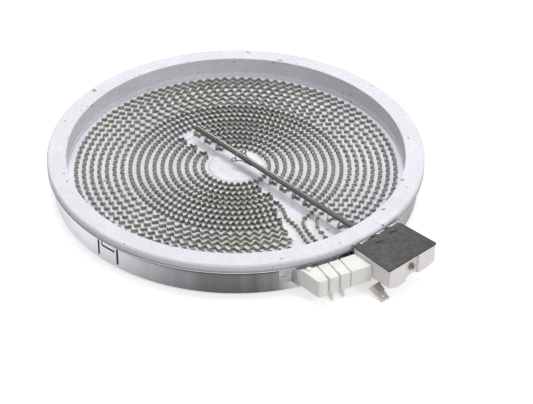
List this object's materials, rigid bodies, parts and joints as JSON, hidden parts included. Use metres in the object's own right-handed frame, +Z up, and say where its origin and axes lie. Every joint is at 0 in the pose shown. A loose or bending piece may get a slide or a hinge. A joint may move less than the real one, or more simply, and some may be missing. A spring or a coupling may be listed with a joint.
{
  "type": "radiant surface element",
  "caption": "Round radiant hob element: insulated sheet pan with corrugated ribbon circuits, rod limiter across the middle and terminals at one side.",
  "frame": {"origin": "centre of the pan's underside, where the element rests in its hob tray", "axes": "+Z up towards the glass; +X along the limiter tube, from the centre of the rings to the limiter's head"},
  "size_m": [0.2623, 0.23, 0.0235],
  "materials": {
    "sheet_steel": "satin",
    "base_insulation": "matte",
    "ring_insulation": "matte",
    "ribbon_alloy": "satin",
    "tube_ceramic": "satin",
    "bright_steel": "satin",
    "spring_wire": "satin",
    "steatite": "matte",
    "dark_plate": "satin",
    "brass_parts": "satin",
    "terminal_steel": "satin"
  },
  "bodies": {
    "root": {"pan": "sheet_steel", "insulation_base": "base_insulation", "insulation_ring": "ring_insulation", "inner_heating_ribbon": "ribbon_alloy", "outer_heating_ribbon": "ribbon_alloy", "limiter_tube": "tube_ceramic", "expansion_rod": "bright_steel", "tube_tip_plug": "bright_steel", "centre_wire_clip": "spring_wire", "tube_collar": "bright_steel", "switch_push_pin": "tube_ceramic", "head_housing": "steatite", "cover_plate": "dark_plate", "calibrating_screw": "brass_parts", "lock_nut": "brass_parts", "switch_spring": "bright_steel", "spring_post": "bright_steel", "moving_contact": "brass_parts", "fixed_contact": "brass_parts", "contact_strip": "bright_steel", "limiter_spade_tab": "terminal_steel", "common_link": "terminal_steel", "limiter_bracket": "sheet_steel", "terminal_block": "steatite", "outer_circuit_blade": "terminal_steel", "inner_circuit_blade": "terminal_steel", "block_strap": "sheet_steel", "strap_rivets": "bright_steel"}
  },
  "joints": []
}
